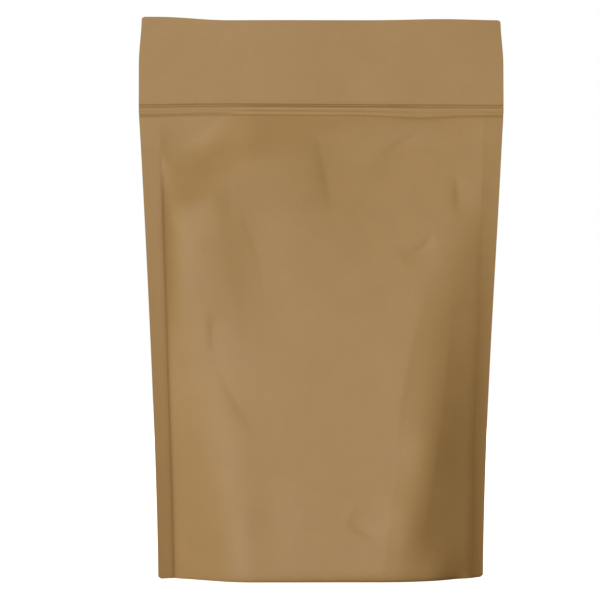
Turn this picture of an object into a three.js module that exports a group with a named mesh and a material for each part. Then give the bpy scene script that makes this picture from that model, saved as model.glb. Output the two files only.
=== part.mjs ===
// A kraft stand-up pouch that holds a kilogram of rice, shut by a press-to-close zip.
//
// Two panels are sealed together down both sides, with a folded gusset sealed between them at the bottom.
// The rice pushes the panels apart, most at the floor, and what they gain in depth they lose in width. So the
// pouch is a wedge: deepest and narrowest at the base, flat and widest at the zip, with a thin header above.
//
// Units are millimetres and +Z is up. The front faces -Y. The origin is the middle of the base, on the floor.

import * as THREE from "three";
import { mergeGeometries, mergeVertices } from "three/addons/utils/BufferGeometryUtils.js";

const { clamp, lerp, smoothstep } = THREE.MathUtils;

// Driving dimensions.
const FLAT_WIDTH = 200; // across the pouch where it lies flat, at the zip
const BASE_WIDTH = 178.4; // across the side seals at the floor
const BASE_DEPTH = 61.5; // front to back at the floor
const TOP_HEIGHT = 306; // floor to the middle of the top edge
const ZIP_HEIGHT = 256.7; // floor to the middle of the zip
const SEAL_THICKNESS = 0.6; // the two films of a seal together

// Widths of the side seals as seen from the front, at the floor and at the zip.
const LEFT_SEAL_WIDTH = [8.6, 11.4];
const RIGHT_SEAL_WIDTH = [6.8, 11]; // narrower at the floor, because it turns further from the front
const SEAL_WIDTH_POWER = 2.5; // how the width grows from the floor to the zip

// Outline of the pouch, seen from the front.
const TAPER_POWER = 1.5; // how the width grows from the base to the zip
const BASE_CORNER_RADIUS = 1.6;
const TOP_CORNER_RADIUS = 1.5;
const HEADER_NARROWING = 1.5; // how far each side draws in over the upper half of the header
const LEFT_CORNER_LIFT = 2; // the top edge rises towards its left corner
const RIGHT_WAVE_LIFT = 0.6; // and in a low wave on the right
const RIGHT_WAVE_AT = 66;
const RIGHT_WAVE_REACH = 22;

// The line where the panels part under the zip: level in the middle, and steep on the left only.
const BULGE_TOP = ZIP_HEIGHT + 5; // its level part pushes at the zip from below
const LEFT_DROP = 24; // how much lower it is beside the left seal
const RIGHT_DROP = 5;
const DROP_SHARES = [0.4, 0.95]; // shares of the half width between which it drops
const SHOULDER_BLEND = [-0.4, 0.5]; // columns between which the left shoulder turns into the right one

// The filled body below that line: a wedge that deepens to the floor, and a roll just under the line.
const WEDGE_POWER = 1.2; // how the depth grows towards the floor
const WEDGE_SOFTNESS = 0.3; // share of the height over which it sets in
// The roll is highest at its reach below the line, and has died out at its fade below it.
const MIDDLE_ROLL = { reach: 34, height: 9.5, fade: 130 };
const LEFT_ROLL = { reach: 44, height: 12.5, fade: 140 };
const RIGHT_ROLL = { reach: 20, height: 2, fade: 160 };
const ROLL_BLEND = [0.3, 0.9]; // shares of the half width where the middle roll turns into the left one
const ROLL_POWER = 20; // the left roll runs on almost to its seal
const BACK_ROLL_SHARE = 0.5; // the back panel's roll is lower
const HEM_HEIGHT = 8; // the bottom edge of a panel turns under
const HEM_INSETS = [1.5, 4.2]; // by this much at the left seal and at the right one

// The body's section has a flat front and straight flanks, turned between two shares of the half width.
const BASE_TURN = [0.4, 0.75]; // at the floor
const BODY_TURN = [0.47, 0.92]; // above the gusset's corners
const TOP_TURN = [0.72, 1.05]; // in the flatter top of the body
const EDGE_TURN = [0.93, 1]; // and once more beside the seal
const EDGE_SHARE = 0.03; // share of the depth in that last turn
const GUSSET_HEIGHT = 90; // how high the gusset's corners are sealed
const FLATTER_HEIGHTS = [130, 200]; // heights between which the top of the body gets flatter

// The side seals stand out as fins. The left one leans to the front and the right one to the back. The power
// sets how the lean dies out from the floor to the zip.
const LEFT_LEAN = { atFloor: -3.8, atZip: -0.3, power: 1.2 };
const RIGHT_LEAN = { atFloor: 7.6, atZip: 0, power: 1.4 };
// Between the floor and the zip both seals sway to the front. The power sets how high the sway's peak is.
const LEFT_SWAY = { reach: 9, power: 1.1 };
const RIGHT_SWAY = { reach: 10.2, power: 2.3 };

// The header bows back at its corners, waves a little along the top, and is dented as one sheet.
const HEADER_BOW = 2;
const HEADER_WAVE = 0.5;
const HEADER_DENTS = [
  { at: [14, 270], reach: [14, 10], depth: 0.9 },
  { at: [66, 275], reach: [18, 10], depth: 0.9 },
];
const HEADER_DENTS_FROM = 0.2; // share of the header's height where the dents have set in

// The zip: two tracks hold the films apart, and the films dip into a groove above, between and below them.
const ZIP_SWELL = 1.1;
const ZIP_SWELL_BELOW = 22; // the swelling fades over this height below the zip, and over the header
const ZIP_PITCH = 5; // between the upper and the lower groove
const GROOVE_WIDTH = 0.6;
const UPPER_GROOVE_DEPTH = 1.45;
const MIDDLE_GROOVE_DEPTH = 0.3;
const LOWER_GROOVE_DEPTHS = [0.52, 0.85]; // in the middle and at the side seals
const CRUSHED_SHARE = 0.95; // share of the zip's relief left where the side seals crush it
const CRUSH_FROM = 0.85; // column where the crushing starts
const ZIP_BAND = ZIP_PITCH; // reach of the zip's close rows, above and below its middle
const ZIP_WANDER_REACH = 12; // and of the rows that wander up and down with the tracks
const ZIP_RISE = { lift: 0.3, at: -57, reach: 40 }; // the tracks wander up on the left
const ZIP_LEFT_FALL = { lift: -0.6, at: -100, reach: 35 }; // and down at both side seals
const ZIP_RIGHT_FALL = { lift: -0.7, at: 100, reach: 60 };
const ZIP_SAG = { lift: -1.3, at: 55, reach: 20 }; // and on the right the lower track also sags

// Folds run in a bow from one place on a panel to another. The wall on the right hand of a fold's way is
// sharp, and the one on its left hand is round. A fold with a negative depth is a ridge.
const FRONT_FOLDS = [
  { from: [-3, 245], to: [6, 197], bow: 0.5, widths: [5, 22], depth: 1.5 },
  { from: [-46, 206], to: [-31, 158], bow: 2, widths: [5, 18], depth: 0.7 },
  { from: [-41, 126], to: [-62, 214], bow: 0, widths: [8, 14], depth: -0.6 },
  { from: [-46, 172], to: [-66, 230], bow: 0, widths: [9, 9], depth: -0.6 },
  { from: [-60, 146], to: [-59, 122], bow: 0, widths: [2, 7], depth: 1 },
  { from: [-60, 130], to: [-32, 78], bow: -4, widths: [5, 20], depth: 1.4 },
  { from: [60, 249], to: [25, 224], bow: -1, widths: [1.5, 12], depth: 1 },
  { from: [73, 222], to: [73, 198], bow: 1, widths: [2, 8], depth: 1 },
  { from: [61, 189], to: [41, 178], bow: 4, widths: [1.8, 7], depth: 1.2 },
  { from: [13, 32], to: [32, 22], bow: 0, widths: [2, 12], depth: 1.1 },
  { from: [-50, 208], to: [-100, 206], bow: 0, widths: [10, 14], depth: -1.6 },
  { from: [40, 50], to: [60, 164], bow: 5, widths: [5, 16], depth: -0.8 },
  { from: [31, -14], to: [41, 62], bow: 0, widths: [6, 14], depth: -0.8 },
  { from: [50, 0], to: [72, 164], bow: -3, widths: [5, 14], depth: -0.9 },
  { from: [-68, 243], to: [-65, 222], bow: 0, widths: [4, 7], depth: 0.6 },
];
const BACK_FOLDS = [
  { from: [12, 194], to: [21, 246], bow: 3, widths: [5, 20], depth: 2.4 },
  { from: [-48, 204], to: [-26, 240], bow: -3, widths: [4, 16], depth: 1.8 },
  { from: [36, 112], to: [54, 180], bow: -6, widths: [6, 18], depth: 1.8 },
  { from: [-60, 92], to: [-40, 146], bow: 5, widths: [5, 16], depth: 1.8 },
];
// Dents are broad hollows round one place on a panel, or swellings where the depth is negative.
const FRONT_DENTS = [
  { at: [16, 228], reach: [14, 10], depth: 0.5 },
  { at: [-27, 32], reach: [13, 24], depth: 1 },
  { at: [57, 70], reach: [12, 13], depth: -1.8 },
  { at: [47, 30], reach: [9, 12], depth: -1.2 },
  { at: [64, 3], reach: [11, 13], depth: -4 },
];
const BACK_DENTS = [
  { at: [-14, 212], reach: [14, 12], depth: 1.2 },
  { at: [40, 60], reach: [16, 22], depth: 1 },
];
const FOLD_FADE_DEPTH = 3; // folds fade out where the body is less deep than this
const HEM_FADE_DEPTH = 10; // and so does the hem

// The gusset underneath: it lies on the floor in the middle, and is drawn up between the panels at both ends.
const FLOOR_PATCH_ACROSS = 0.6; // reach of the flat patch, as a share of the base
const FLOOR_PATCH_DEEP = 0.5;
const LIFT_REACH = 1.6; // the gusset is fully lifted at this many times the patch's reach
const GUSSET_LIFT_MIDDLE = 3.5;
const GUSSET_LIFT_ENDS = 7.5;
const GUSSET_END_COLUMNS = [0.4, 0.85]; // between which the lift grows
const SKIRT_SHARE = 0.84; // beyond this share of the base, the gusset comes down to the panel's edge

// Stations of the surface. Columns run from -2 to 2: the body lies between -1 and 1, and a side seal beyond.
// Rows are heights, from the top down, and lie closest together at the zip.
const BODY_COLUMNS = 42;
const ROW_STRETCHES = [
  { top: HEM_HEIGHT, steps: 3 },
  { top: ZIP_HEIGHT - ZIP_BAND, steps: 38 },
  { top: ZIP_HEIGHT + ZIP_BAND, steps: 12 },
  { top: TOP_HEIGHT - TOP_CORNER_RADIUS, steps: 5 },
  { top: TOP_HEIGHT, steps: 2 },
];
const columns = [-2, ...stations(-1, 1, BODY_COLUMNS), 2];
const rows = ROW_STRETCHES.reduce((heights, { top, steps }) => [
  ...heights,
  ...stations(heights.at(-1), top, steps).slice(1),
], [0]).reverse();
const gussetRows = stations(-1, 1, 10);

function stations(first, last, steps) {
  return Array.from({ length: steps + 1 }, (_, i) => lerp(first, last, i / steps));
}

// A smooth bump: 1 at nought, falling away on both sides over a width.
function hump(value, width) {
  return Math.exp(-((value / width) ** 2));
}

// The area under a smoothstep up to a value, so its slope goes from 0 to 1.
function ramp(value, low, high) {
  const share = clamp((value - low) / (high - low), 0, 1);
  return (high - low) * share ** 3 * (1 - share / 2) + Math.max(0, value - high);
}

// How far a quarter-round corner draws an edge in, at a distance from the corner's end.
function cornerInset(distance, radius) {
  const into = Math.max(0, 1 - distance / radius);
  return radius * (1 - Math.sqrt(1 - into * into));
}

// Half the pouch's width at a height.
function halfWidth(z) {
  const taper = Math.min(z / ZIP_HEIGHT, 1) ** TAPER_POWER;
  const draw = smoothstep(z, (ZIP_HEIGHT + TOP_HEIGHT) / 2, TOP_HEIGHT);
  return lerp(BASE_WIDTH, FLAT_WIDTH, taper) / 2 - HEADER_NARROWING * draw;
}

// Height of the top edge at a distance from the middle.
function topEdge(x) {
  const left = smoothstep(-x, 0.5 * (FLAT_WIDTH / 2), 0.9 * (FLAT_WIDTH / 2));
  const wave = hump(x - RIGHT_WAVE_AT, RIGHT_WAVE_REACH);
  return TOP_HEIGHT + LEFT_CORNER_LIFT * left + RIGHT_WAVE_LIFT * wave;
}

// Width of the seal on a column's side, as seen from the front at a height.
function sealWidth(column, z) {
  const widths = column < 0 ? LEFT_SEAL_WIDTH : RIGHT_SEAL_WIDTH;
  return lerp(...widths, Math.min(z / ZIP_HEIGHT, 1) ** SEAL_WIDTH_POWER);
}

// Distance of a column to the right of the middle, at a height. The seals' outer corners are round.
function across(column, z) {
  const seal = sealWidth(column, z);
  const body = Math.min(Math.abs(column), 1) * (halfWidth(z) - seal);
  const rounded = cornerInset(z, BASE_CORNER_RADIUS) + cornerInset(TOP_HEIGHT - z, TOP_CORNER_RADIUS);
  const onSeal = Math.max(0, Math.abs(column) - 1) * (seal - rounded);
  return Math.sign(column) * (body + onSeal);
}

// How far a panel has turned down from its flat front: 0 on the front and 1 at the seal.
function turned(u, z) {
  const aboveGusset = smoothstep(z, 0, GUSSET_HEIGHT);
  const atTop = smoothstep(z, ...FLATTER_HEIGHTS);
  const turn = [0, 1].map((end) => {
    return lerp(lerp(BASE_TURN[end], BODY_TURN[end], aboveGusset), TOP_TURN[end], atTop);
  });
  const flank = ramp(u, ...turn) / ramp(1, ...turn);
  const edge = ramp(u, ...EDGE_TURN) / ramp(1, ...EDGE_TURN);
  return lerp(flank, edge, EDGE_SHARE);
}

// How far the rice pushes a panel out from the plane of the side seals. The front panel's side is -1.
function bulge(side, column, z) {
  const u = Math.min(Math.abs(column), 1);
  const toRight = smoothstep(column, ...SHOULDER_BLEND);
  const shoulder = BULGE_TOP - lerp(LEFT_DROP, RIGHT_DROP, toRight) * smoothstep(u, ...DROP_SHARES);
  const below = shoulder - z;
  if (below <= 0) return 0;
  const room = 1 - (z / shoulder) ** WEDGE_POWER;
  const wedge = Math.sqrt((room ** 3 / (room ** 2 + WEDGE_SOFTNESS ** 2)) * (1 + WEDGE_SOFTNESS ** 2));
  const toLeft = smoothstep(u, ...ROLL_BLEND);
  const [reach, height, fade] = ["reach", "height", "fade"].map((size) => {
    return lerp(lerp(MIDDLE_ROLL[size], LEFT_ROLL[size], toLeft), RIGHT_ROLL[size], toRight);
  });
  const roll = height * (smoothstep(below, 0, reach) - smoothstep(below, reach, fade));
  const flank = turned(u, z);
  const rolled = roll * (1 - lerp(u ** ROLL_POWER, flank, toRight)) * (side < 0 ? 1 : BACK_ROLL_SHARE);
  return (BASE_DEPTH / 2) * wedge * (1 - flank) + rolled;
}

// How far the zip holds a film out from the middle, less its grooves.
function zipRelief(column, z) {
  const crush = lerp(1, CRUSHED_SHARE, smoothstep(Math.abs(column), CRUSH_FROM, 1));
  const above = 1 - smoothstep(z, ZIP_HEIGHT + ZIP_PITCH / 2, TOP_HEIGHT);
  const below = smoothstep(z, ZIP_HEIGHT - ZIP_SWELL_BELOW, ZIP_HEIGHT - ZIP_PITCH);
  const upper = UPPER_GROOVE_DEPTH * hump(z - ZIP_HEIGHT - ZIP_PITCH / 2, GROOVE_WIDTH);
  const between = MIDDLE_GROOVE_DEPTH * hump(z - ZIP_HEIGHT, GROOVE_WIDTH);
  const lowerDepth = lerp(...LOWER_GROOVE_DEPTHS, Math.min(column * column, 1));
  const lower = lowerDepth * hump(z - ZIP_HEIGHT + ZIP_PITCH / 2, GROOVE_WIDTH);
  return crush * (ZIP_SWELL * above * below - upper - between - lower);
}

// How far the zip's tracks wander up from a level line. It dies out above and below them.
function zipWander(x, z) {
  const waves = [ZIP_RISE, ZIP_LEFT_FALL, ZIP_RIGHT_FALL, ZIP_SAG];
  const [rise, leftFall, rightFall, sag] = waves.map(({ lift, at, reach }) => lift * hump(x - at, reach));
  const shared = (rise + leftFall + rightFall) * hump(z - ZIP_HEIGHT, ZIP_WANDER_REACH);
  const lowerTrack = hump(z - ZIP_HEIGHT + ZIP_PITCH / 2, ZIP_PITCH / 2);
  return shared + sag * lowerTrack;
}

// Depth of folds at a place on a panel.
function foldDepth(folds, x, z) {
  let depth = 0;
  for (const fold of folds) {
    const [dx, dz] = [fold.to[0] - fold.from[0], fold.to[1] - fold.from[1]];
    const length = Math.hypot(dx, dz);
    const along = ((x - fold.from[0]) * dx + (z - fold.from[1]) * dz) / length ** 2;
    if (along <= 0 || along >= 1) continue;
    const line = ((z - fold.from[1]) * dx - (x - fold.from[0]) * dz) / length;
    const aside = line - fold.bow * 4 * along * (1 - along);
    const wall = aside < 0 ? Math.exp(aside / fold.widths[0]) : hump(aside, fold.widths[1]);
    depth += fold.depth * Math.sin(Math.PI * along) * wall;
  }
  return depth;
}

// Depth of dents at a place.
function dentDepth(dents, x, z) {
  let depth = 0;
  for (const dent of dents) {
    const away = Math.hypot((x - dent.at[0]) / dent.reach[0], (z - dent.at[1]) / dent.reach[1]);
    depth += dent.depth * hump(away, 1);
  }
  return depth;
}

// Where the middle of the pouch, between its two films, lies behind the plane of the side seals.
function middle(column, x, z) {
  const onFin = Math.max(0, Math.abs(column) - 1);
  const high = Math.min(z / ZIP_HEIGHT, 1);
  const [lean, sway] = column < 0 ? [LEFT_LEAN, LEFT_SWAY] : [RIGHT_LEAN, RIGHT_SWAY];
  const leant = lerp(lean.atFloor, lean.atZip, high ** lean.power) * onFin;
  const swung = sway.reach * Math.sin(Math.PI * high ** sway.power);
  const swayed = swung * turned(Math.min(Math.abs(column), 1), z);
  const up = Math.max(0, z - ZIP_HEIGHT) / (TOP_HEIGHT - ZIP_HEIGHT);
  const out = x / (FLAT_WIDTH / 2);
  const bow = HEADER_BOW * out * out + HEADER_WAVE * Math.sin(2 * Math.PI * out);
  const dented = dentDepth(HEADER_DENTS, x, z) * smoothstep(up, 0, HEADER_DENTS_FROM);
  return bow * up + dented + leant - swayed;
}

// A point of a panel. The front panel's side is -1 and the back panel's is 1.
function panelPoint(side, column, row) {
  const x = across(column, row);
  const inHeader = Math.max(0, row - ZIP_HEIGHT) / (TOP_HEIGHT - ZIP_HEIGHT);
  const z = row + inHeader * (topEdge(x) - TOP_HEIGHT) + zipWander(x, row);
  const body = bulge(side, column, row);
  const [folds, dents] = side < 0 ? [FRONT_FOLDS, FRONT_DENTS] : [BACK_FOLDS, BACK_DENTS];
  const creased = foldDepth(folds, x, row) + dentDepth(dents, x, row);
  const kept = creased * smoothstep(body, 0, FOLD_FADE_DEPTH);
  const hemShare = lerp(...HEM_INSETS, smoothstep(column, -1, 1)) / HEM_HEIGHT;
  const hem = hemShare * cornerInset(row, HEM_HEIGHT) * smoothstep(body, 0, HEM_FADE_DEPTH);
  const depth = Math.max(0, body + zipRelief(column, row) - kept - hem);
  return new THREE.Vector3(x, middle(column, x, row) + side * (SEAL_THICKNESS / 2 + depth), z);
}

// A point of the gusset underneath. Its row runs from -1 at the front panel to 1 at the back panel.
function gussetPoint(column, row) {
  const front = panelPoint(-1, column, 0);
  const back = panelPoint(1, column, 0);
  if (Math.abs(column) === 2) return row < 0 ? front : back;
  const reach = Math.hypot(column / FLOOR_PATCH_ACROSS, row / FLOOR_PATCH_DEEP);
  const toEnds = smoothstep(Math.abs(column), ...GUSSET_END_COLUMNS);
  const lift = lerp(GUSSET_LIFT_MIDDLE, GUSSET_LIFT_ENDS, toEnds);
  const inSkirt = 1 - smoothstep(Math.abs(row), SKIRT_SHARE, 1);
  const inEnds = 1 - smoothstep(Math.abs(column), SKIRT_SHARE, 1);
  const point = front.lerp(back, (row + 1) / 2);
  point.z = lift * smoothstep(reach, 1, LIFT_REACH) * inSkirt * inEnds;
  return point;
}

// A sheet of the surface. Seen from outside, its columns run to the right and its rows run down.
function sheet(sheetColumns, sheetRows, place) {
  const made = new THREE.PlaneGeometry(1, 1, sheetColumns.length - 1, sheetRows.length - 1);
  made.deleteAttribute("normal");
  made.deleteAttribute("uv");
  const position = made.getAttribute("position");
  sheetRows.forEach((row, j) => {
    sheetColumns.forEach((column, i) => {
      position.setXYZ(j * sheetColumns.length + i, ...place(column, row));
    });
  });
  return made;
}

// One closed surface from its sheets, without the triangles that shrank to a line at the ends of the gusset.
function closed(sheets) {
  const joined = mergeVertices(mergeGeometries(sheets));
  const kept = [];
  for (let i = 0; i < joined.index.count; i += 3) {
    const [a, b, c] = [0, 1, 2].map((k) => joined.index.getX(i + k));
    if (a !== b && b !== c && c !== a) kept.push(a, b, c);
  }
  joined.setIndex(kept);
  joined.computeVertexNormals();
  return joined;
}

function pouchGeometry() {
  const front = sheet(columns, rows, (column, row) => panelPoint(-1, column, row));
  const back = sheet([...columns].reverse(), rows, (column, row) => panelPoint(1, column, row));
  const left = sheet([1, -1], rows, (side, row) => panelPoint(side, -2, row));
  const right = sheet([-1, 1], rows, (side, row) => panelPoint(side, 2, row));
  const top = sheet(columns, [1, -1], (column, side) => panelPoint(side, column, TOP_HEIGHT));
  const gusset = sheet(columns, gussetRows, gussetPoint);
  return closed([front, back, left, right, top, gusset]);
}

const kraft = new THREE.MeshStandardMaterial({ color: 0xa5855c, roughness: 0.72, metalness: 0 });
const pouch = new THREE.Mesh(pouchGeometry(), kraft);
pouch.name = "pouch";

const bagOfRice = new THREE.Group();
bagOfRice.add(pouch);

export default bagOfRice;
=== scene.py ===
"""Looks of a shut kraft stand-up pouch of rice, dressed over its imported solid.

The pouch is one welded skin: a front and a back panel joined by side seals, a zip pressed in under a flat
header, and a gusset that it stands on. Lengths in the pouch's classes are millimetres, with +Z up and the
front facing -Y. Meshes, the paper's grain, lights and the camera are in metres.
"""

import logging
import math
from collections.abc import Callable
from dataclasses import dataclass
from dataclasses import field
from enum import Enum
from typing import NamedTuple

import bmesh
import bpy
import numpy as np
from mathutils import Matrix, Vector

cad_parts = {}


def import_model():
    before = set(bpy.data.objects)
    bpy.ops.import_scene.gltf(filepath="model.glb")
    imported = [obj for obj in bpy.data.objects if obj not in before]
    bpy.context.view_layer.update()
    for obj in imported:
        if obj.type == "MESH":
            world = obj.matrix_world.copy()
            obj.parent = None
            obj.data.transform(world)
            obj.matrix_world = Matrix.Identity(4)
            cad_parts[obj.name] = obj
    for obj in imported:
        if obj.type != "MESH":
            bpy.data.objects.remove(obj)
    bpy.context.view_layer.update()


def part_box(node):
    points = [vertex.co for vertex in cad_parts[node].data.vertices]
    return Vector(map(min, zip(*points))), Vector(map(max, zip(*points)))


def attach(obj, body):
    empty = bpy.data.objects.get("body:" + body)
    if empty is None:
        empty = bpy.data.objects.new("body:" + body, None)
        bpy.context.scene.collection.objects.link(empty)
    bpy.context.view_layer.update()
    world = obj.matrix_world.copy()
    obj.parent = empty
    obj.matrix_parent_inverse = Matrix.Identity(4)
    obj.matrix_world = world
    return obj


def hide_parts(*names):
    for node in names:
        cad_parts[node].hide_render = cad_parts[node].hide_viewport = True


MM = 0.001
NODE = "pouch"
BODY = "root"
PRESSED = "pressed"
# mark of the seals' inner lines, along which the finish paints shade into the colour
SEAM_PAINTED_SHADE = "seam"
WELD_DISTANCE = 1e-7
WHITE = (1.0, 1.0, 1.0, 1.0)

Values = float | np.ndarray
Pair = tuple[float, float]
Place = tuple[float, float, float]
Tint = tuple[float, float, float]
Colour = tuple[float, float, float, float]

log = logging.getLogger("pouch")


class Panel(Enum):
    """The two panels of the pouch, by the way that each faces along Y."""

    FRONT = -1
    BACK = 1


def lerp(first: Values, last: Values, share: Values) -> Values:
    """Goes from one value to another by a share."""
    return first + (last - first) * share


def smoothstep(value: Values, low: Values, high: Values) -> Values:
    """Rises smoothly from 0 at the low end to 1 at the high end."""
    share = np.clip((value - low) / (high - low), 0.0, 1.0)
    return share * share * (3.0 - 2.0 * share)


def hump(value: np.ndarray, width: float) -> np.ndarray:
    """Is 1 at nought and falls away on both sides over a width."""
    return np.exp(-((value / width) ** 2))


def ramp(value: Values, low: Values, high: Values) -> Values:
    """The area under a smoothstep from nought up to a value, so its slope goes from 0 to 1."""
    share = np.clip((value - low) / (high - low), 0.0, 1.0)
    return (high - low) * share**3 * (1.0 - share / 2.0) + np.maximum(0.0, value - high)


def corner_inset(distance: np.ndarray, radius: float) -> np.ndarray:
    """How far a quarter-round corner draws an edge in, at distances from the edge's end."""
    into = np.clip(1.0 - distance / radius, 0.0, 1.0)
    return radius * (1.0 - np.sqrt(1.0 - into * into))


def by_side(column: np.ndarray, left: Values, right: Values) -> np.ndarray:
    """Takes the left value left of the middle, and the right value elsewhere."""
    return np.where(column < 0.0, left, right)


def stations(marks: list[float], steps: list[int]) -> np.ndarray:
    """Even stations between marks, with each stretch in its own number of steps."""
    stretches = [np.linspace(a, b, n + 1)[1:] for a, b, n in zip(marks, marks[1:], steps)]
    return np.concatenate([[marks[0]], *stretches])


def add_sheet(
    mesh: bmesh.types.BMesh,
    columns: np.ndarray,
    rows: np.ndarray,
    place: Callable[[np.ndarray, np.ndarray], np.ndarray],
) -> None:
    """Adds a sheet of the skin to a mesh.

    Args:
        mesh: the mesh that takes it.
        columns: its columns, to the right as seen from outside.
        rows: its rows, upwards as seen from outside.
        place: gives the points of columns and rows.
    """
    grid = bmesh.ops.create_grid(mesh, x_segments=len(columns) - 1, y_segments=len(rows) - 1, size=1.0)
    points = place(*np.meshgrid(columns, rows)).reshape(-1, 3) * MM
    for vert, point in zip(grid["verts"], points, strict=True):
        vert.co = Vector(point)


@dataclass(frozen=True)
class Fold:
    """A groove in a panel from one place to another, or a ridge where its depth is negative.

    Attributes:
        start: where it starts, to the right of the middle and up from the floor.
        end: where it ends.
        bow: how far its middle stands off the straight line.
        widths: width of its wall on the right hand and on the left hand of its way.
        depth: depth at its middle.
    """

    start: Pair
    end: Pair
    bow: float
    widths: Pair
    depth: float

    def relief(self, x: np.ndarray, z: np.ndarray) -> np.ndarray:
        """Depth of the groove at places on the panel.

        Args:
            x: distances to the right of the middle.
            z: heights.

        Returns:
            The depth at each place.
        """
        way = np.subtract(self.end, self.start)
        length = math.hypot(*way)
        from_start = x - self.start[0], z - self.start[1]
        along = (from_start[0] * way[0] + from_start[1] * way[1]) / length**2
        line = (from_start[1] * way[0] - from_start[0] * way[1]) / length
        aside = line - self.bow * 4.0 * along * (1.0 - along)
        wall = np.where(aside < 0.0, np.exp(aside / self.widths[0]), hump(aside, self.widths[1]))
        return self.depth * np.sin(math.pi * np.clip(along, 0.0, 1.0)) * wall


@dataclass(frozen=True)
class Dent:
    """A broad hollow in a panel, or a swelling where its depth is negative."""

    centre: Pair
    reach: Pair
    depth: float

    def relief(self, x: np.ndarray, z: np.ndarray) -> np.ndarray:
        """Depth of the hollow at places on the panel."""
        away = np.hypot((x - self.centre[0]) / self.reach[0], (z - self.centre[1]) / self.reach[1])
        return self.depth * hump(away, 1.0)


FRONT_FOLDS = (
    Fold((-3, 245), (6, 197), 0.5, (5, 22), 1.5),
    Fold((-46, 206), (-31, 158), 2, (5, 18), 0.7),
    Fold((-41, 126), (-62, 214), 0, (8, 14), -0.6),
    Fold((-46, 172), (-66, 230), 0, (9, 9), -0.6),
    Fold((-60, 146), (-59, 122), 0, (2, 7), 1.0),
    Fold((-60, 130), (-32, 78), -4, (5, 20), 1.4),
    Fold((60, 249), (25, 224), -1, (1.5, 12), 1.0),
    Fold((73, 222), (73, 198), 1, (2, 8), 1.0),
    Fold((61, 189), (41, 178), 4, (1.8, 7), 1.2),
    Fold((13, 32), (32, 22), 0, (2, 12), 1.1),
    Fold((-50, 208), (-100, 206), 0, (10, 14), -1.6),
    Fold((40, 50), (60, 164), 5, (5, 16), -0.8),
    Fold((31, -14), (41, 62), 0, (6, 14), -0.8),
    Fold((50, 0), (72, 164), -3, (5, 14), -0.9),
    Fold((-68, 243), (-65, 222), 0, (4, 7), 0.6),
)
FRONT_DENTS = (
    Dent((16, 228), (14, 10), 0.5),
    Dent((-27, 32), (13, 24), 1.0),
    Dent((57, 70), (12, 13), -1.8),
    Dent((47, 30), (9, 12), -1.2),
    Dent((64, 3), (11, 13), -4.0),
)
BACK_FOLDS = (
    Fold((12, 194), (21, 246), 3, (5, 20), 2.4),
    Fold((-48, 204), (-26, 240), -3, (4, 16), 1.8),
    Fold((36, 112), (54, 180), -6, (6, 18), 1.8),
    Fold((-60, 92), (-40, 146), 5, (5, 16), 1.8),
)
BACK_DENTS = (
    Dent((-14, 212), (14, 12), 1.2),
    Dent((40, 60), (16, 22), 1.0),
)
HEADER_DENTS = (
    Dent((14, 270), (14, 10), 0.9),
    Dent((66, 275), (18, 10), 0.9),
)


@dataclass(frozen=True)
class Wave:
    """A smooth rise of a line that runs across the pouch, or a fall where its lift is negative."""

    lift: float
    centre: float
    reach: float

    def at(self, x: np.ndarray) -> np.ndarray:
        """Lift of the line at distances to the right of the middle."""
        return self.lift * hump(x - self.centre, self.reach)


@dataclass(frozen=True)
class Outline:
    """The pouch's outline as seen from the front.

    Attributes:
        box_width: width of the pouch's box, filled at the zip.
        box_height: height of the box, filled at the left corner.
        base_width_share: width at the floor, as a share of the box's.
        zip_share: height of the zip, as a share of the top edge's.
        taper_power: how the width grows from the floor to the zip.
        base_corner: radius of the seals' corners at the floor.
        top_corner: radius of the corners at the top.
        header_narrowing: how far each side draws in over the upper half of the header.
        left_corner_lift: how far the top edge rises towards its left corner.
        left_corner_shares: shares of the half width between which it rises.
        right_wave: low wave of the top edge on the right.
    """

    box_width: float
    box_height: float
    base_width_share: float = 0.892
    zip_share: float = 0.8388
    taper_power: float = 1.5
    base_corner: float = 1.6
    top_corner: float = 1.5
    header_narrowing: float = 1.5
    left_corner_lift: float = 2.0
    left_corner_shares: Pair = (0.5, 0.9)
    right_wave: Wave = Wave(0.6, 66.0, 22.0)

    @property
    def top(self) -> float:
        """Height of the middle of the top edge."""
        return self.box_height - self.left_corner_lift

    @property
    def zip_height(self) -> float:
        """Height of the middle of the zip."""
        return self.zip_share * self.top

    def under_zip(self, z: np.ndarray) -> np.ndarray:
        """Heights as shares of the zip's height, and 1 over the zip."""
        return np.minimum(z / self.zip_height, 1.0)

    def in_header(self, z: np.ndarray) -> np.ndarray:
        """Heights over the zip as shares of the header's height, and 0 under the zip."""
        return np.maximum(0.0, z - self.zip_height) / (self.top - self.zip_height)

    def half_width(self, z: np.ndarray) -> np.ndarray:
        """Half the pouch's width.

        Args:
            z: heights.

        Returns:
            The half width at each height.
        """
        taper = self.under_zip(z) ** self.taper_power
        drawn = smoothstep(z, (self.zip_height + self.top) / 2.0, self.top)
        width = lerp(self.base_width_share * self.box_width, self.box_width, taper)
        return width / 2.0 - self.header_narrowing * drawn

    def corners(self, z: np.ndarray) -> np.ndarray:
        """How far the round corners draw the sides in at heights."""
        return corner_inset(z, self.base_corner) + corner_inset(self.top - z, self.top_corner)

    def top_lift(self, x: np.ndarray) -> np.ndarray:
        """How far the top edge rises over its middle.

        Args:
            x: distances to the right of the middle.

        Returns:
            The rise at each distance.
        """
        half = self.box_width / 2.0
        low, high = self.left_corner_shares
        left = smoothstep(-x, low * half, high * half)
        return self.left_corner_lift * left + self.right_wave.at(x)


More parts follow.
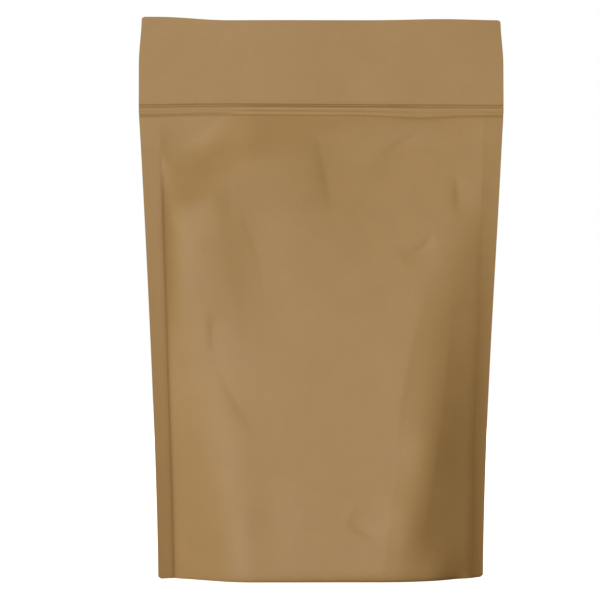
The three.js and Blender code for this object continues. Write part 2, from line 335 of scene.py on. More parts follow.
@dataclass(frozen=True)
class Fin:
    """A side seal, which stands out from the body as a fin.

    Attributes:
        widths: its width as seen from the front, at the floor and at the zip.
        lean: how far its outer edge leans back, at the floor and at the zip.
        lean_power: how the lean changes from the floor to the zip.
        bend: how strongly the fin is bent within its width.
        sway: how far the seal sways to the front between the floor and the zip.
        sway_power: sets how high the sway's peak is.
        painted_seam_shade_share: how strongly its inner line is pressed in, and how strongly the finish
            paints shade along it.
    """

    widths: Pair
    lean: Pair
    lean_power: float
    bend: float
    sway: float
    sway_power: float
    painted_seam_shade_share: float

    def leant(self, high: np.ndarray, on_fin: np.ndarray) -> np.ndarray:
        """How far the fin leans back, at shares of the zip's height and of the fin's width."""
        lean = lerp(*self.lean, high**self.lean_power)
        return lean * on_fin * (1.0 + self.bend * (1.0 - on_fin))

    def swayed(self, high: np.ndarray) -> np.ndarray:
        """How far the seal sways to the front at heights, as shares of the zip's height."""
        return self.sway * np.sin(math.pi * high**self.sway_power)


LEFT_FIN = Fin(
    widths=(8.6, 11.4),
    lean=(-3.8, -0.3),
    lean_power=1.2,
    bend=-0.1,
    sway=9.0,
    sway_power=1.1,
    painted_seam_shade_share=1.0,
)
RIGHT_FIN = Fin(
    widths=(6.8, 11.0),
    lean=(7.6, 0.0),
    lean_power=1.4,
    bend=0.3,
    sway=10.2,
    sway_power=2.3,
    # painted seam shade kept weak on the right seal, where the light from the left falls into the crease
    painted_seam_shade_share=0.15,
)


@dataclass(frozen=True)
class Zip:
    """The press-to-close zip: two tracks that hold the films apart, with grooves along them.

    Attributes:
        height: height of its middle.
        top: height of the header's top edge, where its swelling has died out.
        swell: how far it holds each film out.
        swell_below: how far below its middle the swelling has died out.
        pitch: distance between its upper and its lower groove.
        groove_width: width of each groove.
        upper_depth: depth of its upper groove.
        middle_depth: depth of the groove between the tracks.
        lower_depths: depth of its lower groove, in the middle and at the side seals.
        flange_depth: depth of the line where its flange ends in the header.
        flange_gap: distance of that line over the upper groove.
        crushed_share: share of the relief left where the side seals crush it.
        crush_from: column where the crushing starts.
        band: reach of the closest rows, above and below its middle.
        wander_reach: reach of the rows that wander up and down with the tracks.
        wander: how the tracks wander.
        sag: how the lower track sags.
    """

    height: float
    top: float
    swell: float = 1.1
    swell_below: float = 22.0
    pitch: float = 5.0
    groove_width: float = 0.6
    upper_depth: float = 1.45
    middle_depth: float = 0.3
    lower_depths: Pair = (0.52, 0.85)
    flange_depth: float = 0.15
    flange_gap: float = 2.5
    crushed_share: float = 0.95
    crush_from: float = 0.85
    band: float = 6.0
    wander_reach: float = 12.0
    wander: tuple[Wave, ...] = (Wave(0.3, -57.0, 40.0), Wave(-0.7, 100.0, 60.0), Wave(-0.6, -100.0, 35.0))
    sag: Wave = Wave(-1.3, 55.0, 20.0)

    def lift(self, x: np.ndarray, z: np.ndarray) -> np.ndarray:
        """How far the tracks wander up from a level line.

        Args:
            x: distances to the right of the middle.
            z: heights.

        Returns:
            The lift at each place, which dies out above and below the tracks.
        """
        lower = hump(z - self.height + self.pitch / 2.0, self.pitch / 2.0)
        wander = sum(wave.at(x) for wave in self.wander)
        return wander * hump(z - self.height, self.wander_reach) + self.sag.at(x) * lower

    def groove(self, z: np.ndarray, up: float, depth: Values) -> np.ndarray:
        """Depth at heights of a groove that runs a distance over the zip's middle."""
        return depth * hump(z - self.height - up, self.groove_width)

    def relief(self, column: np.ndarray, z: np.ndarray) -> np.ndarray:
        """How far the zip holds a film out from the middle.

        Args:
            column: columns of the places.
            z: heights of the places.

        Returns:
            The distance at each place, less the grooves.
        """
        half = self.pitch / 2.0
        crush = lerp(1.0, self.crushed_share, smoothstep(np.abs(column), self.crush_from, 1.0))
        above = 1.0 - smoothstep(z, self.height + half, self.top)
        below = smoothstep(z, self.height - self.swell_below, self.height - self.pitch)
        flange = self.groove(z, half + self.flange_gap, self.flange_depth)
        upper = self.groove(z, half, self.upper_depth)
        middle = self.groove(z, 0.0, self.middle_depth)
        lower = self.groove(z, -half, lerp(*self.lower_depths, np.minimum(column * column, 1.0)))
        return crush * (self.swell * above * below - flange - upper - middle - lower)


class Roll(NamedTuple):
    """A roll of a panel under the line where the panels part.

    Attributes:
        reach: how far below the line it is highest.
        height: how far it stands out there.
        fade: how far below the line it has died out.
    """

    reach: float
    height: float
    fade: float


@dataclass(frozen=True)
class Filling:
    """The filled body: the rice pushes the panels apart in a wedge, with a roll under its top line.

    A panel has a flat front and straight flanks. It turns from one to the other between two shares of the
    half width, and once more beside the seal.

    Attributes:
        base_depth: depth at the floor.
        zip_height: height of the zip.
        line_over_zip: height over the zip of the line where the panels part, in the middle.
        left_drop: how much lower the line is at the left seal.
        right_drop: how much lower it is at the right seal.
        drop_shares: shares of the half width between which it drops.
        shoulder_blend: columns between which the left shoulder turns into the right one.
        wedge_power: how the depth grows towards the floor.
        wedge_softness: share of the height over which the depth sets in.
        middle_roll: the roll in the middle.
        left_roll: the roll towards the left seal.
        right_roll: the roll on the right.
        roll_blend: shares of the half width between which the middle roll turns into the left one.
        roll_power: how close to its seal the left roll runs.
        back_roll_share: height of the back panel's roll, as a share of the front's.
        base_turn: shares between which a panel turns at the floor.
        body_turn: shares between which it turns above the gusset's corners.
        top_turn: shares between which it turns in the flatter top.
        edge_turn: shares between which it turns beside the seal.
        edge_share: share of the depth in that last turn.
        gusset_height: how high the gusset's corners are sealed.
        flatter_heights: heights between which the top gets flatter.
    """

    base_depth: float
    zip_height: float
    line_over_zip: float = 5.0
    left_drop: float = 24.0
    right_drop: float = 5.0
    drop_shares: Pair = (0.4, 0.95)
    shoulder_blend: Pair = (-0.4, 0.5)
    wedge_power: float = 1.2
    wedge_softness: float = 0.3
    middle_roll: Roll = Roll(34.0, 9.5, 130.0)
    left_roll: Roll = Roll(44.0, 12.5, 140.0)
    right_roll: Roll = Roll(20.0, 2.0, 160.0)
    roll_blend: Pair = (0.3, 0.9)
    roll_power: float = 20.0
    back_roll_share: float = 0.5
    base_turn: Pair = (0.4, 0.75)
    body_turn: Pair = (0.47, 0.92)
    top_turn: Pair = (0.72, 1.05)
    edge_turn: Pair = (0.93, 1.0)
    edge_share: float = 0.03
    gusset_height: float = 90.0
    flatter_heights: Pair = (130.0, 200.0)

    def turned(self, u: np.ndarray, z: np.ndarray) -> np.ndarray:
        """How far a panel has turned down from its flat front.

        Args:
            u: distances from the middle, as shares of the body's half width.
            z: heights.

        Returns:
            The share at each place: 0 on the front and 1 at the seal.
        """
        above_gusset = smoothstep(z, 0.0, self.gusset_height)
        at_top = smoothstep(z, *self.flatter_heights)
        turns = zip(self.base_turn, self.body_turn, self.top_turn)
        turn = [lerp(lerp(base, body, above_gusset), top, at_top) for base, body, top in turns]
        flank = ramp(u, *turn) / ramp(1.0, *turn)
        edge = ramp(u, *self.edge_turn) / ramp(1.0, *self.edge_turn)
        return lerp(flank, edge, self.edge_share)

    def roll(self, u: np.ndarray, to_right: np.ndarray, below: np.ndarray) -> np.ndarray:
        """How far the roll stands out, before it dies out towards the seals.

        Args:
            u: distances from the middle, as shares of the body's half width.
            to_right: shares of the way from the left shoulder to the right one.
            below: distances below the line where the panels part.

        Returns:
            The distance at each place.
        """
        to_left = smoothstep(u, *self.roll_blend)
        rolls = zip(self.middle_roll, self.left_roll, self.right_roll)
        sizes = [lerp(lerp(middle, left, to_left), right, to_right) for middle, left, right in rolls]
        reach, height, fade = sizes
        return height * (smoothstep(below, 0.0, reach) - smoothstep(below, reach, fade))

    def bulge(self, panel: Panel, column: np.ndarray, z: np.ndarray) -> np.ndarray:
        """How far the rice pushes a panel out from the plane of the side seals.

        Args:
            panel: the panel.
            column: columns of the places.
            z: heights of the places.

        Returns:
            The distance at each place.
        """
        u = np.minimum(np.abs(column), 1.0)
        to_right = smoothstep(column, *self.shoulder_blend)
        drop = lerp(self.left_drop, self.right_drop, to_right) * smoothstep(u, *self.drop_shares)
        line = self.zip_height + self.line_over_zip - drop
        room = np.maximum(0.0, 1.0 - (z / line) ** self.wedge_power)
        soft = self.wedge_softness**2
        wedge = self.base_depth / 2.0 * np.sqrt(room**3 / (room**2 + soft) * (1.0 + soft))
        flank = self.turned(u, z)
        share = 1.0 if panel is Panel.FRONT else self.back_roll_share
        dying = lerp(u**self.roll_power, flank, to_right)
        return wedge * (1.0 - flank) + share * self.roll(u, to_right, line - z) * (1.0 - dying)


@dataclass(frozen=True)
class Hem:
    """The bottom edge of a panel, which turns under.

    Attributes:
        height: height from which it turns.
        insets: how far it turns under, at the left seal and at the right one.
        fade_depth: depth of the body under which it fades out.
    """

    height: float = 8.0
    insets: Pair = (1.5, 4.2)
    fade_depth: float = 10.0

    def inset(self, column: np.ndarray, z: np.ndarray, depth: np.ndarray) -> np.ndarray:
        """How far a panel is set in at columns and heights, where the rice pushes it out to a depth."""
        share = lerp(*self.insets, smoothstep(column, -1.0, 1.0)) / self.height
        return share * corner_inset(z, self.height) * smoothstep(depth, 0.0, self.fade_depth)


@dataclass(frozen=True)
class Header:
    """The flat sheet over the zip, which bows back at its corners, waves a little and is dented.

    Attributes:
        half_width: half its width.
        bow: how far its upper corners bow back.
        wave: height of the wave along its top edge.
        dents_from: share of its height where the dents have set in.
    """

    half_width: float
    bow: float = 2.0
    wave: float = 0.5
    dents_from: float = 0.2

    def set_back(self, x: np.ndarray, z: np.ndarray, up: np.ndarray) -> np.ndarray:
        """How far the sheet lies behind the plane of the side seals.

        Args:
            x: distances to the right of the middle.
            z: heights.
            up: heights over the zip, as shares of the header's height.

        Returns:
            The distance at each place.
        """
        out = x / self.half_width
        bowed = self.bow * out * out + self.wave * np.sin(2.0 * math.pi * out)
        dented = sum(dent.relief(x, z) for dent in HEADER_DENTS)
        return bowed * up + dented * smoothstep(up, 0.0, self.dents_from)


@dataclass(frozen=True)
class Gusset:
    """The gusset underneath: flat on the floor in the middle, and drawn up between the panels round it.

    Attributes:
        patch_across: reach across of the patch on the floor, as a share of the body.
        patch_deep: its reach from front to back.
        lift_reach: times the patch's reach where the gusset is fully lifted.
        lift_middle: how far it is lifted in the middle.
        lift_ends: how far it is lifted towards the side seals.
        lift_columns: columns between which the lift grows.
        skirt_share: share of the body beyond which it comes down to a panel's edge.
        steps: steps from front to back.
    """

    patch_across: float = 0.6
    patch_deep: float = 0.5
    lift_reach: float = 1.6
    lift_middle: float = 3.5
    lift_ends: float = 7.5
    lift_columns: Pair = (0.4, 0.85)
    skirt_share: float = 0.84
    steps: int = 20

    def lift(self, column: np.ndarray, row: np.ndarray) -> np.ndarray:
        """How far the gusset is lifted off the floor.

        Args:
            column: columns of the places.
            row: places from -1 at the front panel to 1 at the back panel.

        Returns:
            The lift at each place.
        """
        out = np.abs(column)
        reach = np.hypot(column / self.patch_across, row / self.patch_deep)
        lift = lerp(self.lift_middle, self.lift_ends, smoothstep(out, *self.lift_columns))
        in_skirt = 1.0 - smoothstep(np.abs(row), self.skirt_share, 1.0)
        in_ends = 1.0 - smoothstep(out, self.skirt_share, 1.0)
        return lift * smoothstep(reach, 1.0, self.lift_reach) * in_skirt * in_ends


@dataclass
class Pouch:
    """The welded skin of the pouch, in a box.

    Columns run from -2 to 2 across it: the body lies between -1 and 1, and a side seal beyond. Rows are
    heights.

    Attributes:
        box_width: width of the box.
        box_depth: depth of the box.
        box_height: height of the box.
        left: the left side seal.
        right: the right side seal.
        hem: the bottom edge of the panels.
        gusset: the gusset underneath.
        seal_thickness: thickness of the two films of a seal together.
        seal_power: how the seals' width grows from the floor to the zip.
        seam_reach: reach of the closest columns on either side of a seal's inner line.
        seam_width: width of that line.
        seam_depth: how far it is pressed in.
        seam_starts: distances below the zip between which it sets in.
        pressed_columns: columns between which the skin gets as smooth as a seal.
        fold_fade_depth: depth of the body under which its folds fade out.
        seal_steps: steps of the columns in a seal.
        seam_steps: steps of the columns on either side of a seal's inner line.
        body_steps: steps of the columns in the body.
        row_steps: steps of the rows in the hem, the body, the zip, the header and its round corners.
        sharp_angle: angle in degrees from which an edge stays sharp.
        outline: the outline.
        closure: the zip.
        filling: the filled body.
        header: the sheet over the zip.
    """

    box_width: float
    box_depth: float
    box_height: float
    left: Fin = LEFT_FIN
    right: Fin = RIGHT_FIN
    hem: Hem = Hem()
    gusset: Gusset = Gusset()
    seal_thickness: float = 0.6
    seal_power: float = 2.5
    seam_reach: float = 1.0
    seam_width: float = 0.8
    seam_depth: float = 0.22
    seam_starts: Pair = (8.0, 60.0)
    pressed_columns: Pair = (1.0, 1.06)
    fold_fade_depth: float = 3.0
    seal_steps: int = 4
    seam_steps: int = 4
    body_steps: int = 158
    row_steps: tuple[int, ...] = (8, 171, 40, 18, 3)
    sharp_angle: float = 45.0
    outline: Outline = field(init=False)
    closure: Zip = field(init=False)
    filling: Filling = field(init=False)
    header: Header = field(init=False)

    def __post_init__(self) -> None:
        """Fits the sub-assemblies to the box."""
        self.outline = Outline(self.box_width, self.box_height)
        self.closure = Zip(self.outline.zip_height, self.outline.top)
        self.filling = Filling(self.box_depth - self.seal_thickness, self.outline.zip_height)
        self.header = Header(self.box_width / 2.0)

    def columns(self) -> np.ndarray:
        """Columns from the left seal to the right one, closest together at the seals' inner lines.

        Returns:
            The columns.
        """
        fin = self.seam_reach / self.left.widths[0]
        body = 2.0 * self.seam_reach / self.box_width
        marks = [-2.0, -1.0 - fin, -1.0, body - 1.0, 1.0 - body, 1.0, 1.0 + fin, 2.0]
        beside = [self.seal_steps, self.seam_steps, self.seam_steps]
        return stations(marks, [*beside, self.body_steps, *beside[::-1]])

    def rows(self) -> np.ndarray:
        """Heights from the floor to the top edge, closest together at the zip.

        Returns:
            The heights.
        """
        zip_low = self.closure.height - self.closure.band
        zip_high = self.closure.height + self.closure.band
        top = self.outline.top
        marks = [0.0, self.hem.height, zip_low, zip_high, top - self.outline.top_corner, top]
        return stations(marks, list(self.row_steps))

    def seal_width(self, side: np.ndarray, z: np.ndarray) -> np.ndarray:
        """Widths of the side seals as seen from the front, by the sign of the side and at heights."""
        high = self.outline.under_zip(z) ** self.seal_power
        return by_side(side, lerp(*self.left.widths, high), lerp(*self.right.widths, high))

    def across(self, column: np.ndarray, z: np.ndarray) -> np.ndarray:
        """Distances of columns to the right of the middle.

        Args:
            column: the columns.
            z: heights on them.

        Returns:
            The distance at each place.
        """
        seal = self.seal_width(column, z)
        body = np.minimum(np.abs(column), 1.0) * (self.outline.half_width(z) - seal)
        on_seal = np.maximum(0.0, np.abs(column) - 1.0) * (seal - self.outline.corners(z))
        return np.sign(column) * (body + on_seal)

    def middle(self, column: np.ndarray, x: np.ndarray, z: np.ndarray) -> np.ndarray:
        """Where the middle between the two films lies behind the plane of the side seals.

        Args:
            column: columns of the places.
            x: distances of the places to the right of the middle.
            z: heights of the places.

        Returns:
            The distance at each place.
        """
        high = self.outline.under_zip(z)
        on_fin = np.maximum(0.0, np.abs(column) - 1.0)
        leant = by_side(column, self.left.leant(high, on_fin), self.right.leant(high, on_fin))
        swayed = by_side(column, self.left.swayed(high), self.right.swayed(high))
        flank = self.filling.turned(np.minimum(np.abs(column), 1.0), z)
        return self.header.set_back(x, z, self.outline.in_header(z)) + leant - swayed * flank

    def seam(self, column: np.ndarray, z: np.ndarray) -> np.ndarray:
        """How strongly the inner line of a side seal is pressed in, which also sets the painted shade
        along that line.

        Args:
            column: columns of the places.
            z: heights of the places.

        Returns:
            The share at each place: 1 on the line, and nothing near the zip and over it.
        """
        seal = self.seal_width(column, z)
        beyond = np.abs(column) - 1.0
        away = beyond * np.where(beyond > 0.0, seal, self.outline.half_width(z) - seal)
        share = by_side(column, self.left.painted_seam_shade_share, self.right.painted_seam_shade_share)
        started = smoothstep(self.outline.zip_height - z, *self.seam_starts)
        return share * hump(away, self.seam_width) * started

    def creases(self, panel: Panel, x: np.ndarray, z: np.ndarray) -> np.ndarray:
        """Depth of a panel's folds and dents at places on it."""
        reliefs = FRONT_FOLDS + FRONT_DENTS if panel is Panel.FRONT else BACK_FOLDS + BACK_DENTS
        return sum(relief.relief(x, z) for relief in reliefs)

    def panel_points(self, panel: Panel, column: np.ndarray, row: np.ndarray) -> np.ndarray:
        """Points of a panel.

        Args:
            panel: the panel.
            column: columns of the points.
            row: rows of the points.

        Returns:
            The points, with the coordinates along the last axis.
        """
        x = self.across(column, row)
        z = row + self.outline.in_header(row) * self.outline.top_lift(x) + self.closure.lift(x, row)
        pushed = self.filling.bulge(panel, column, row)
        creased = self.creases(panel, x, row) * smoothstep(pushed, 0.0, self.fold_fade_depth)
        set_in = creased + self.hem.inset(column, row, pushed)
        depth = np.maximum(0.0, pushed + self.closure.relief(column, row) - set_in)
        half = self.seal_thickness / 2.0 + depth - self.seam_depth * self.seam(column, row)
        y = self.middle(column, x, row) + panel.value * half
        return np.stack([x, y, z], axis=-1)

    def rim_points(self, column: np.ndarray, row: np.ndarray, side: np.ndarray) -> np.ndarray:
        """Points of the cut edge between the panels.

        Args:
            column: columns of the points.
            row: rows of the points.
            side: -1 on the front panel and 1 on the back panel.

        Returns:
            The points, with the coordinates along the last axis.
        """
        front = self.panel_points(Panel.FRONT, column, row)
        back = self.panel_points(Panel.BACK, column, row)
        return np.where(side[..., None] < 0.0, front, back)

    def gusset_points(self, column: np.ndarray, row: np.ndarray) -> np.ndarray:
        """Points of the gusset underneath.

        Args:
            column: columns of the points.
            row: places from -1 at the front panel to 1 at the back panel.

        Returns:
            The points, with the coordinates along the last axis.
        """
        floor = np.zeros_like(column)
        front = self.panel_points(Panel.FRONT, column, floor)
        back = self.panel_points(Panel.BACK, column, floor)
        in_seal = np.where(row < 0.0, 0.0, 1.0)
        share = np.where(np.abs(column) >= 1.0, in_seal, (row + 1.0) / 2.0)
        points = front + (back - front) * share[..., None]
        points[..., 2] += self.gusset.lift(column, row)
        return points

    def build(self) -> bpy.types.Object:
        """Makes the skin as one closed mesh.

        Returns:
            The pouch's object.
        """
        columns = self.columns()
        rows = self.rows()
        ends = np.array([-1.0, 1.0])
        gusset_rows = np.linspace(1.0, -1.0, self.gusset.steps + 1)
        top = self.outline.top
        mesh = bmesh.new()
        add_sheet(mesh, columns, rows, lambda c, r: self.panel_points(Panel.FRONT, c, r))
        add_sheet(mesh, columns[::-1], rows, lambda c, r: self.panel_points(Panel.BACK, c, r))
        add_sheet(mesh, -ends, rows, lambda s, r: self.rim_points(np.full_like(s, -2.0), r, s))
        add_sheet(mesh, ends, rows, lambda s, r: self.rim_points(np.full_like(s, 2.0), r, s))
        add_sheet(mesh, columns, ends, lambda c, s: self.rim_points(c, np.full_like(s, top), s))
        add_sheet(mesh, columns, gusset_rows, self.gusset_points)
        bmesh.ops.remove_doubles(mesh, verts=mesh.verts, dist=WELD_DISTANCE)
        data = bpy.data.meshes.new("pouch_skin")
        mesh.to_mesh(data)
        mesh.free()
        data.shade_smooth()
        data.set_sharp_from_angle(angle=math.radians(self.sharp_angle))
        skin = bpy.data.objects.new("pouch_skin", data)
        bpy.context.scene.collection.objects.link(skin)
        return skin

    def dress(self, skin: bpy.types.Object) -> None:
        """Marks where the skin is pressed by the side seals, and the seals' inner lines, along which the
        finish paints shade.

        Args:
            skin: the pouch's object.
        """
        places = np.empty(3 * len(skin.data.vertices))
        skin.data.vertices.foreach_get("co", places)
        x, _, z = places.reshape(-1, 3).T / MM
        seal = self.seal_width(x, z)
        inner = self.outline.half_width(z) - seal
        beyond = np.abs(x) - inner
        column = np.sign(x) * np.where(beyond > 0.0, 1.0 + beyond / seal, np.abs(x) / inner)
        marks = {PRESSED: smoothstep(np.abs(column), *self.pressed_columns), SEAM_PAINTED_SHADE: self.seam(column, z)}
        for name, values in marks.items():
            skin.data.attributes.new(name, "FLOAT", "POINT").data.foreach_set("value", values)


@dataclass
class Graph:
    """A node tree that nodes are added to."""

    tree: bpy.types.NodeTree

    def add(self, kind: str, inputs: dict[str | int, object], **settings: object) -> bpy.types.Node:
        """Adds a node.

        Args:
            kind: type of the node.
            inputs: what each input takes: a socket to join it to, or a plain value.
            settings: settings of the node.

        Returns:
            The node.
        """
        node = self.tree.nodes.new(kind)
        for name, setting in settings.items():
            setattr(node, name, setting)
        self.feed(node, inputs)
        return node

    def feed(self, node: bpy.types.Node, inputs: dict[str | int, object]) -> None:
        """Sets or joins inputs of a node.

        Args:
            node: the node.
            inputs: what each input takes: a socket to join it to, or a plain value.
        """
        for key, source in inputs.items():
            if isinstance(source, bpy.types.NodeSocket):
                self.tree.links.new(source, node.inputs[key])
            else:
                node.inputs[key].default_value = source

    def noise(self, place: bpy.types.NodeSocket, size: float, detail: float) -> bpy.types.NodeSocket:
        """A noise with features of a size in metres."""
        inputs = {"Vector": place, "Scale": 1.0 / size, "Detail": detail}
        return self.add("ShaderNodeTexNoise", inputs).outputs["Fac"]

    def remap(self, value: bpy.types.NodeSocket, old: Pair, new: Pair) -> bpy.types.NodeSocket:
        """Brings a value smoothly from one range to another."""
        inputs = {"Value": value, 1: old[0], 2: old[1], 3: new[0], 4: new[1]}
        return self.add("ShaderNodeMapRange", inputs, interpolation_type="SMOOTHSTEP").outputs[0]

    def math(self, operation: str, *values: bpy.types.NodeSocket | float) -> bpy.types.NodeSocket:
        """Works out a value from others."""
        return self.add("ShaderNodeMath", dict(enumerate(values)), operation=operation).outputs[0]

    def blend(
        self, blend_type: str, share: bpy.types.NodeSocket | float, first: object, second: object
    ) -> bpy.types.NodeSocket:
        """Blends two colours."""
        inputs = {0: share, 6: first, 7: second}
        return self.add("ShaderNodeMix", inputs, data_type="RGBA", blend_type=blend_type).outputs[2]

    def attribute(self, name: str) -> bpy.types.NodeSocket:
        """Reads a mark of the mesh."""
        return self.add("ShaderNodeAttribute", {}, attribute_name=name).outputs["Fac"]

    def seen(self) -> bpy.types.NodeSocket:
        """Is 1 where the eye looks, and 0 where light bounces."""
        return self.add("ShaderNodeLightPath", {}).outputs["Is Camera Ray"]


@dataclass(frozen=True)
class PaperGrain:
    """The grain of kraft paper: cloudy pulp with fibres and a few specks in it. Sizes are in metres.

    Attributes:
        cloud_size: size of the clouds.
        cloud_detail: how finely they break up.
        cloud_levels: levels of their noise that are used.
        cloud_range: darkest and lightest tone.
        fibre_size: how far a fibre runs before it turns.
        fibre_detail: how crooked it is.
        fibre_width: how wide it is.
        fibre_height: how far it stands out, against the tooth.
        gap_size: size of the gaps between fibres.
        gap_detail: how finely the gaps break up.
        gap_levels: levels of their noise between which a fibre sets in.
        speck_size: distance between places for specks.
        speck_reach: distances from a speck's middle between which it ends.
        speck_share: share of the places that have a speck.
        tooth_size: size of the paper's tooth.
        tooth_detail: how finely the tooth breaks up.
    """

    cloud_size: float = 0.014
    cloud_detail: float = 5.0
    cloud_levels: Pair = (0.3, 0.7)
    cloud_range: Pair = (0.98, 1.02)
    fibre_size: float = 0.004
    fibre_detail: float = 3.0
    fibre_width: float = 0.012
    fibre_height: float = 0.6
    gap_size: float = 0.0015
    gap_detail: float = 1.0
    gap_levels: Pair = (0.48, 0.6)
    speck_size: float = 0.004
    speck_reach: Pair = (0.05, 0.11)
    speck_share: float = 0.25
    tooth_size: float = 0.0007
    tooth_detail: float = 2.0

    def group(self) -> bpy.types.NodeTree:
        """Makes the node group.

        Returns:
            The group: from a place on the paper to its tone, its fibres, its specks and its height.
        """
        tree = bpy.data.node_groups.new("paper_grain", "ShaderNodeTree")
        tree.interface.new_socket("Place", in_out="INPUT", socket_type="NodeSocketVector")
        for name in ("Tone", "Fibres", "Specks", "Height"):
            tree.interface.new_socket(name, in_out="OUTPUT", socket_type="NodeSocketFloat")
        graph = Graph(tree)
        place = graph.add("NodeGroupInput", {}).outputs["Place"]
        clouds = graph.noise(place, self.cloud_size, self.cloud_detail)
        tone = graph.remap(clouds, self.cloud_levels, self.cloud_range)
        level = graph.math("SUBTRACT", graph.noise(place, self.fibre_size, self.fibre_detail), 0.5)
        strands = graph.remap(graph.math("ABSOLUTE", level), (0.0, self.fibre_width), (1.0, 0.0))
        gaps = graph.remap(graph.noise(place, self.gap_size, self.gap_detail), self.gap_levels, (0.0, 1.0))
        fibres = graph.math("MULTIPLY", strands, gaps)
        cells = graph.add("ShaderNodeTexVoronoi", {"Vector": place, "Scale": 1.0 / self.speck_size})
        chosen = graph.math("LESS_THAN", cells.outputs["Color"], self.speck_share)
        dots = graph.remap(cells.outputs["Distance"], self.speck_reach, (1.0, 0.0))
        specks = graph.math("MULTIPLY", dots, chosen)
        tooth = graph.noise(place, self.tooth_size, self.tooth_detail)
        height = graph.math("ADD", tooth, graph.math("MULTIPLY", fibres, self.fibre_height))
        graph.add("NodeGroupOutput", {"Tone": tone, "Fibres": fibres, "Specks": specks, "Height": height})
        return tree


@dataclass(frozen=True)
class KraftFinish:
    """Matte brown kraft paper on a film, smoother where the seals are pressed, with painted shade along
    the seals' inner lines.

    Attributes:
        colour: colour of the pulp.
        fibre_colour: colour of the fibres.
        fibre_share: how strongly they show.
        speck_colour: colour of the specks.
        speck_share: how strongly they show.
        painted_seam_shade: tone of the painted shade along the seals' inner lines, darkening the crease
            beside each fin where shadow falls.
        painted_seam_shade_share: how strongly that painted shade shows.
        roughness: roughness of the loose skin and of the pressed seals.
        specular: strength of the sheen.
        tooth_height: height of the paper's tooth, in metres.
        tooth_strength: how strongly it shows.
    """

    colour: Colour = (0.322, 0.191, 0.067, 1.0)
    fibre_colour: Colour = (0.44, 0.29, 0.13, 1.0)
    fibre_share: float = 0.3
    speck_colour: Colour = (0.14, 0.07, 0.025, 1.0)
    speck_share: float = 0.35
    painted_seam_shade: Colour = (0.55, 0.5, 0.45, 1.0)
    painted_seam_shade_share: float = 0.5
    roughness: Pair = (0.7, 0.68)
    specular: float = 0.65
    tooth_height: float = 0.00003
    tooth_strength: float = 0.5

    def material(self) -> bpy.types.Material:
        """Makes the material.

        Returns:
            The material, which reads the skin's own coordinates and marks.
        """
        made = bpy.data.materials.new("kraft_paper")
        made.use_nodes = True
        graph = Graph(made.node_tree)
        place = graph.add("ShaderNodeTexCoord", {}).outputs["Object"]
        grain = graph.add("ShaderNodeGroup", {"Place": place}, node_tree=PaperGrain().group()).outputs
        fibres = graph.math("MULTIPLY", grain["Fibres"], self.fibre_share)
        specks = graph.math("MULTIPLY", grain["Specks"], self.speck_share)
        # painted shade: the seam mark darkens the colour along the seals' inner lines, where shadow
        # gathers in the crease beside each fin
        seam = graph.math("MULTIPLY", graph.attribute(SEAM_PAINTED_SHADE), self.painted_seam_shade_share)
        pulp = graph.blend("MULTIPLY", 1.0, self.colour, grain["Tone"])
        fibred = graph.blend("MIX", fibres, pulp, self.fibre_colour)
        specked = graph.blend("MIX", specks, fibred, self.speck_colour)
        shaded = graph.blend("MULTIPLY", seam, specked, self.painted_seam_shade)
        roughness = graph.remap(graph.attribute(PRESSED), (0.0, 1.0), self.roughness)
        tooth = {"Strength": self.tooth_strength, "Distance": self.tooth_height, "Height": grain["Height"]}
        normal = graph.add("ShaderNodeBump", tooth).outputs["Normal"]
        shader = made.node_tree.nodes["Principled BSDF"]
        graph.feed(shader, {"Base Color": shaded, "Roughness": roughness, "Normal": normal})
        graph.feed(shader, {"Specular IOR Level": self.specular})
        return made


@dataclass(frozen=True)
class Softbox:
    """A soft light that points at the pouch.

    Attributes:
        name: its name.
        place: where it stands.
        size: its width and height.
        power: its power in watts.
        colour: colour of its light.
        aim: the place that it points at.
    """

    name: str
    place: Place
    size: Pair
    power: float
    colour: Tint = (1.0, 1.0, 1.0)
    aim: Place = (0.0, 0.0, 0.15)

    def build(self) -> None:
        """Makes the light."""
        light = bpy.data.lights.new(self.name, "AREA")
        light.shape = "RECTANGLE"
        light.size, light.size_y = self.size
        light.energy = self.power
        light.color = self.colour
        softbox = bpy.data.objects.new(self.name, light)
        softbox.location = self.place
        way = Vector(self.aim) - softbox.location
        softbox.rotation_euler = way.to_track_quat("-Z", "Y").to_euler()
        bpy.context.scene.collection.objects.link(softbox)


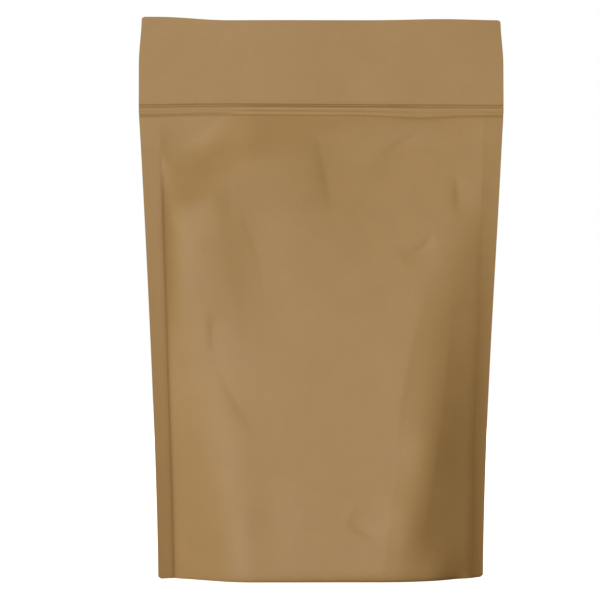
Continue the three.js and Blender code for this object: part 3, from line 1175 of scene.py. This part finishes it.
@dataclass
class Studio:
    """A white floor and surround, soft lights and a camera straight in front.

    Attributes:
        floor_size: length of the floor's sides.
        floor_colour: colour of the light that the floor throws back.
        floor_roughness: its roughness.
        floor_glow: how brightly it shows to the eye.
        world_strength: strength of the surround as a light.
        world_colour: colour of the surround as a light.
        key: the light from the front left.
        back: the light from behind.
        camera_place: where the camera stands.
        frame_width: width of the picture at the pouch.
        sensor_width: width of the camera's sensor, in the camera's own millimetres.
    """

    floor_size: float = 6.0
    floor_colour: Colour = (0.64, 0.57, 0.44, 1.0)
    floor_roughness: float = 0.9
    floor_glow: float = 1.0
    world_strength: float = 0.3515
    world_colour: Colour = (1.0, 0.785, 0.438, 1.0)
    key: Softbox = Softbox("key_softbox", (-1.73, -3.96, 0.22), (3.1, 0.42), 182.4, (0.871, 0.922, 1.0))
    back: Softbox = Softbox("back_softbox", (0.7, 1.9, 0.5), (1.3, 0.8), 25.0)
    camera_place: Place = (-0.0116, -1.78, 0.1525)
    frame_width: float = 0.3291
    sensor_width: float = 36.0

    def floor_material(self) -> bpy.types.Material:
        """Makes the floor's finish: white to the eye, and dimmer in the light that it throws back.

        Returns:
            The material.
        """
        white = bpy.data.materials.new("white_floor")
        white.use_nodes = True
        graph = Graph(white.node_tree)
        glow = graph.math("MULTIPLY", graph.seen(), self.floor_glow)
        shader = white.node_tree.nodes["Principled BSDF"]
        graph.feed(shader, {"Base Color": self.floor_colour, "Roughness": self.floor_roughness})
        graph.feed(shader, {"Emission Color": WHITE, "Emission Strength": glow})
        return white

    def build_floor(self) -> bpy.types.Object:
        """Makes the floor.

        Returns:
            The floor's object.
        """
        mesh = bmesh.new()
        bmesh.ops.create_grid(mesh, x_segments=1, y_segments=1, size=self.floor_size / 2.0)
        data = bpy.data.meshes.new("floor")
        mesh.to_mesh(data)
        mesh.free()
        data.materials.append(self.floor_material())
        floor = bpy.data.objects.new("floor", data)
        bpy.context.scene.collection.objects.link(floor)
        return floor

    def build_world(self) -> None:
        """Makes the surround: white to the eye, and dimmer as a light."""
        world = bpy.data.worlds.new("studio")
        world.use_nodes = True
        nodes = world.node_tree.nodes
        graph = Graph(world.node_tree)
        dim = nodes["Background"]
        graph.feed(dim, {"Color": self.world_colour, "Strength": self.world_strength})
        bright = graph.add("ShaderNodeBackground", {"Color": WHITE})
        sides = {0: graph.seen(), 1: dim.outputs[0], 2: bright.outputs[0]}
        mixed = graph.add("ShaderNodeMixShader", sides).outputs[0]
        graph.feed(nodes["World Output"], {0: mixed})
        bpy.context.scene.world = world

    def build_camera(self) -> None:
        """Makes the camera, level with the middle of the pouch."""
        camera = bpy.data.cameras.new("camera")
        camera.sensor_width = self.sensor_width
        camera.lens = self.sensor_width * -self.camera_place[1] / self.frame_width
        eye = bpy.data.objects.new("camera", camera)
        eye.location = self.camera_place
        eye.rotation_euler = (math.pi / 2.0, 0.0, 0.0)
        bpy.context.scene.collection.objects.link(eye)
        bpy.context.scene.camera = eye

    def build(self) -> bpy.types.Object:
        """Builds everything round the pouch.

        Returns:
            The floor's object.
        """
        bpy.context.scene.view_settings.view_transform = "Standard"
        self.build_world()
        self.key.build()
        self.back.build()
        self.build_camera()
        return self.build_floor()


def main() -> None:
    """Builds the pouch and its studio, and reports each piece."""
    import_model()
    low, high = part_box(NODE)
    width, depth, height = (high - low) / MM
    Studio().build()
    pouch = Pouch(box_width=width, box_depth=depth, box_height=height)
    skin = pouch.build()
    pouch.dress(skin)
    skin.data.materials.append(KraftFinish().material())
    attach(skin, BODY)
    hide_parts(NODE)
    log.info("%s: %d faces", skin.name, len(skin.data.polygons))


if __name__ == "__main__":
    logging.basicConfig(level=logging.INFO)
    main()
